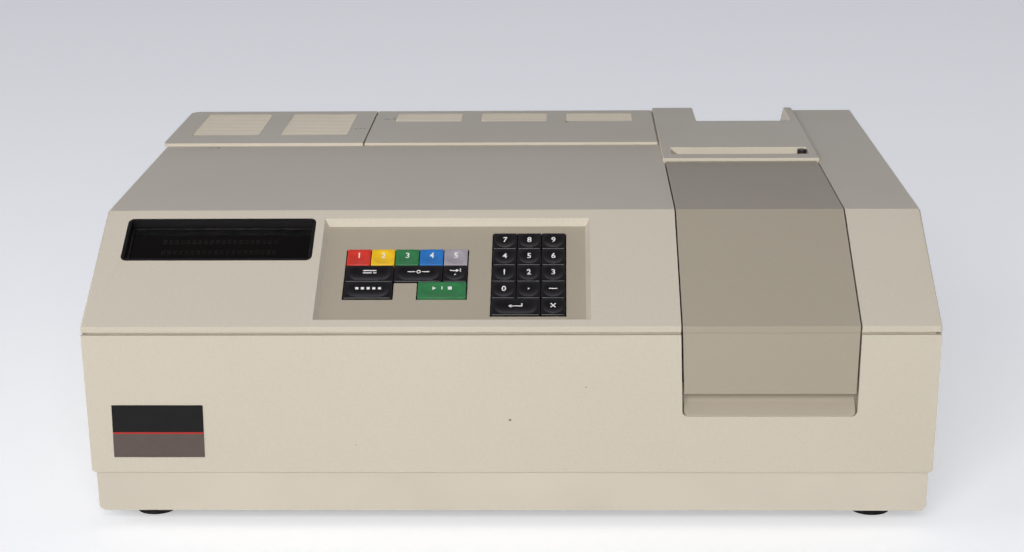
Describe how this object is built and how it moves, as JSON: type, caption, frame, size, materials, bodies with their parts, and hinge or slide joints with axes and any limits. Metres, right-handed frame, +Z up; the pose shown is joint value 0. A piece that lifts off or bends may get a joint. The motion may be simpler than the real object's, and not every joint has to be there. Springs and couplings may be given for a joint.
{
  "type": "ultraviolet-visible spectrophotometer",
  "caption": "Bench ultraviolet-visible spectrophotometer: sloping console with keys and a small display, hinged sample lid, raised louvred covers and its optics inside.",
  "frame": {"origin": "centre of the footprint, on the plane that the feet rest on", "axes": "+X to the instrument's right as its user faces it, +Y to its rear, +Z up"},
  "size_m": [0.6528, 0.5568, 0.2254],
  "materials": {
    "housing_beige": "fine-textured moulded plastic",
    "trim_taupe": "fine-textured moulded plastic",
    "pan_paint": "textured paint on steel sheet",
    "panel_steel": "painted steel sheet",
    "foot_rubber": "matt",
    "bezel_black": "satin black",
    "smoked_pane": "smoked clear pane",
    "board_green": "laminate",
    "black_anodised": "black anodised",
    "silica": "polished silica",
    "plate_black": "printed aluminium plate",
    "screw_steel": "plated",
    "moulded_black": "moulded",
    "core_iron": "varnished laminations",
    "cast_aluminium": "as cast",
    "lamp_glass": "clear silica",
    "mirror_coat": "polished coating",
    "catch_metal": "dark plated",
    "key_black": "satin",
    "key_red": "satin",
    "key_yellow": "satin",
    "key_green": "satin",
    "key_blue": "satin",
    "key_grey": "satin"
  },
  "bodies": {
    "cabinet": {"base_pan": "pan_paint", "lower_housing": "housing_beige", "rear_panel": "panel_steel", "feet": "foot_rubber", "top_cover": "housing_beige", "display_bezel": "bezel_black", "display_window": "smoked_pane", "console_board": "board_green", "keypad_panel": "trim_taupe", "rear_cover": "housing_beige", "sample_compartment": "trim_taupe", "cell_holders": "black_anodised", "beam_windows": "silica", "nameplate": "plate_black", "cover_screws": "screw_steel", "power_inlet": "moulded_black", "fan_frame": "moulded_black", "interface_connectors": "screw_steel", "transformer": "core_iron", "main_board": "board_green", "optical_base": "cast_aluminium", "lamp_house": "panel_steel", "deuterium_lamp": "lamp_glass", "halogen_lamp": "lamp_glass", "drive_motors": "black_anodised", "fixed_mirrors": "mirror_coat", "detectors": "black_anodised"},
    "lid": {"sample_lid": "trim_taupe"},
    "lamp_hatch": {"lamp_cover": "housing_beige"},
    "detector_hatch": {"detector_cover": "housing_beige"},
    "hatch_catch": {"cover_catch": "catch_metal"},
    "mains_rocker": {"power_switch": "moulded_black"},
    "fan_wheel": {"fan_rotor": "moulded_black"},
    "lamp_turret": {"lamp_mirror": "mirror_coat"},
    "filter_disc": {"filter_wheel": "black_anodised"},
    "grating_turntable": {"grating_table": "black_anodised"},
    "memory_key_red_cap": {"memory_key_red": "key_red"},
    "memory_key_yellow_cap": {"memory_key_yellow": "key_yellow"},
    "memory_key_green_cap": {"memory_key_green": "key_green"},
    "memory_key_blue_cap": {"memory_key_blue": "key_blue"},
    "memory_key_grey_cap": {"memory_key_grey": "key_grey"},
    "print_key_cap": {"print_key": "key_black"},
    "zero_key_cap": {"zero_key": "key_black"},
    "goto_key_cap": {"goto_key": "key_black"},
    "menu_key_cap": {"menu_key": "key_black"},
    "run_key_cap": {"run_key": "key_green"},
    "key_0_cap": {"key_0": "key_black"},
    "key_1_cap": {"key_1": "key_black"},
    "key_2_cap": {"key_2": "key_black"},
    "key_3_cap": {"key_3": "key_black"},
    "key_4_cap": {"key_4": "key_black"},
    "key_5_cap": {"key_5": "key_black"},
    "key_6_cap": {"key_6": "key_black"},
    "key_7_cap": {"key_7": "key_black"},
    "key_8_cap": {"key_8": "key_black"},
    "key_9_cap": {"key_9": "key_black"},
    "key_point_cap": {"key_point": "key_black"},
    "key_minus_cap": {"key_minus": "key_black"},
    "enter_key_cap": {"enter_key": "key_black"},
    "clear_key_cap": {"clear_key": "key_black"}
  },
  "joints": [
    {"name": "lid_hinge", "type": "hinge", "parent": "cabinet", "child": "lid", "pos_m": [0.19735, 0.008, 0.21619], "axis": [-1, 0, 0], "range_deg": [0, 88]},
    {"name": "lamp_hatch_lift", "type": "slide", "parent": "cabinet", "child": "lamp_hatch", "axis": [0, 0, 1], "range_m": [0, 0.15]},
    {"name": "detector_hatch_lift", "type": "slide", "parent": "cabinet", "child": "detector_hatch", "axis": [0, 0, 1], "range_m": [0, 0.12]},
    {"name": "catch_turn", "type": "hinge", "parent": "detector_hatch", "child": "hatch_catch", "pos_m": [0.25525, 0.0722, 0.2216], "axis": [0, 0, 1], "range_deg": [0, 90]},
    {"name": "mains_rocker_tilt", "type": "hinge", "parent": "cabinet", "child": "mains_rocker", "pos_m": [0.268, 0.269, 0.10075], "axis": [-1, 0, 0], "range_deg": [0, 22]},
    {"name": "fan_spin", "type": "hinge", "parent": "cabinet", "child": "fan_wheel", "pos_m": [-0.232, 0.257, 0.09825], "axis": [0, 1, 0], "continuous": true},
    {"name": "lamp_mirror_turn", "type": "hinge", "parent": "cabinet", "child": "lamp_turret", "pos_m": [-0.236, 0.06, 0.1], "axis": [0, 0, 1], "range_deg": [-45, 45]},
    {"name": "filter_wheel_turn", "type": "hinge", "parent": "cabinet", "child": "filter_disc", "pos_m": [-0.196, 0.034, 0.12], "axis": [1, 0, 0], "continuous": true},
    {"name": "grating_turn", "type": "hinge", "parent": "cabinet", "child": "grating_turntable", "pos_m": [-0.08, 0.02, 0.1], "axis": [0, 0, 1], "range_deg": [-20, 50]},
    {"name": "memory_key_red_press", "type": "slide", "parent": "cabinet", "child": "memory_key_red_cap", "axis": [0, 0.4583, -0.8888], "range_m": [0, 0.0025], "stiffness_N_per_m": 240, "springref_m": -0.001},
    {"name": "memory_key_yellow_press", "type": "slide", "parent": "cabinet", "child": "memory_key_yellow_cap", "axis": [0, 0.4583, -0.8888], "range_m": [0, 0.0025], "stiffness_N_per_m": 240, "springref_m": -0.001},
    {"name": "memory_key_green_press", "type": "slide", "parent": "cabinet", "child": "memory_key_green_cap", "axis": [0, 0.4583, -0.8888], "range_m": [0, 0.0025], "stiffness_N_per_m": 240, "springref_m": -0.001},
    {"name": "memory_key_blue_press", "type": "slide", "parent": "cabinet", "child": "memory_key_blue_cap", "axis": [0, 0.4583, -0.8888], "range_m": [0, 0.0025], "stiffness_N_per_m": 240, "springref_m": -0.001},
    {"name": "memory_key_grey_press", "type": "slide", "parent": "cabinet", "child": "memory_key_grey_cap", "axis": [0, 0.4583, -0.8888], "range_m": [0, 0.0025], "stiffness_N_per_m": 240, "springref_m": -0.001},
    {"name": "print_key_press", "type": "slide", "parent": "cabinet", "child": "print_key_cap", "axis": [0, 0.4583, -0.8888], "range_m": [0, 0.0025], "stiffness_N_per_m": 240, "springref_m": -0.001},
    {"name": "zero_key_press", "type": "slide", "parent": "cabinet", "child": "zero_key_cap", "axis": [0, 0.4583, -0.8888], "range_m": [0, 0.0025], "stiffness_N_per_m": 240, "springref_m": -0.001},
    {"name": "goto_key_press", "type": "slide", "parent": "cabinet", "child": "goto_key_cap", "axis": [0, 0.4583, -0.8888], "range_m": [0, 0.0025], "stiffness_N_per_m": 240, "springref_m": -0.001},
    {"name": "menu_key_press", "type": "slide", "parent": "cabinet", "child": "menu_key_cap", "axis": [0, 0.4583, -0.8888], "range_m": [0, 0.0025], "stiffness_N_per_m": 240, "springref_m": -0.001},
    {"name": "run_key_press", "type": "slide", "parent": "cabinet", "child": "run_key_cap", "axis": [0, 0.4583, -0.8888], "range_m": [0, 0.0025], "stiffness_N_per_m": 240, "springref_m": -0.001},
    {"name": "key_0_press", "type": "slide", "parent": "cabinet", "child": "key_0_cap", "axis": [0, 0.4583, -0.8888], "range_m": [0, 0.0025], "stiffness_N_per_m": 240, "springref_m": -0.001},
    {"name": "key_1_press", "type": "slide", "parent": "cabinet", "child": "key_1_cap", "axis": [0, 0.4583, -0.8888], "range_m": [0, 0.0025], "stiffness_N_per_m": 240, "springref_m": -0.001},
    {"name": "key_2_press", "type": "slide", "parent": "cabinet", "child": "key_2_cap", "axis": [0, 0.4583, -0.8888], "range_m": [0, 0.0025], "stiffness_N_per_m": 240, "springref_m": -0.001},
    {"name": "key_3_press", "type": "slide", "parent": "cabinet", "child": "key_3_cap", "axis": [0, 0.4583, -0.8888], "range_m": [0, 0.0025], "stiffness_N_per_m": 240, "springref_m": -0.001},
    {"name": "key_4_press", "type": "slide", "parent": "cabinet", "child": "key_4_cap", "axis": [0, 0.4583, -0.8888], "range_m": [0, 0.0025], "stiffness_N_per_m": 240, "springref_m": -0.001},
    {"name": "key_5_press", "type": "slide", "parent": "cabinet", "child": "key_5_cap", "axis": [0, 0.4583, -0.8888], "range_m": [0, 0.0025], "stiffness_N_per_m": 240, "springref_m": -0.001},
    {"name": "key_6_press", "type": "slide", "parent": "cabinet", "child": "key_6_cap", "axis": [0, 0.4583, -0.8888], "range_m": [0, 0.0025], "stiffness_N_per_m": 240, "springref_m": -0.001},
    {"name": "key_7_press", "type": "slide", "parent": "cabinet", "child": "key_7_cap", "axis": [0, 0.4583, -0.8888], "range_m": [0, 0.0025], "stiffness_N_per_m": 240, "springref_m": -0.001},
    {"name": "key_8_press", "type": "slide", "parent": "cabinet", "child": "key_8_cap", "axis": [0, 0.4583, -0.8888], "range_m": [0, 0.0025], "stiffness_N_per_m": 240, "springref_m": -0.001},
    {"name": "key_9_press", "type": "slide", "parent": "cabinet", "child": "key_9_cap", "axis": [0, 0.4583, -0.8888], "range_m": [0, 0.0025], "stiffness_N_per_m": 240, "springref_m": -0.001},
    {"name": "key_point_press", "type": "slide", "parent": "cabinet", "child": "key_point_cap", "axis": [0, 0.4583, -0.8888], "range_m": [0, 0.0025], "stiffness_N_per_m": 240, "springref_m": -0.001},
    {"name": "key_minus_press", "type": "slide", "parent": "cabinet", "child": "key_minus_cap", "axis": [0, 0.4583, -0.8888], "range_m": [0, 0.0025], "stiffness_N_per_m": 240, "springref_m": -0.001},
    {"name": "enter_key_press", "type": "slide", "parent": "cabinet", "child": "enter_key_cap", "axis": [0, 0.4583, -0.8888], "range_m": [0, 0.0025], "stiffness_N_per_m": 240, "springref_m": -0.001},
    {"name": "clear_key_press", "type": "slide", "parent": "cabinet", "child": "clear_key_cap", "axis": [0, 0.4583, -0.8888], "range_m": [0, 0.0025], "stiffness_N_per_m": 240, "springref_m": -0.001}
  ]
}
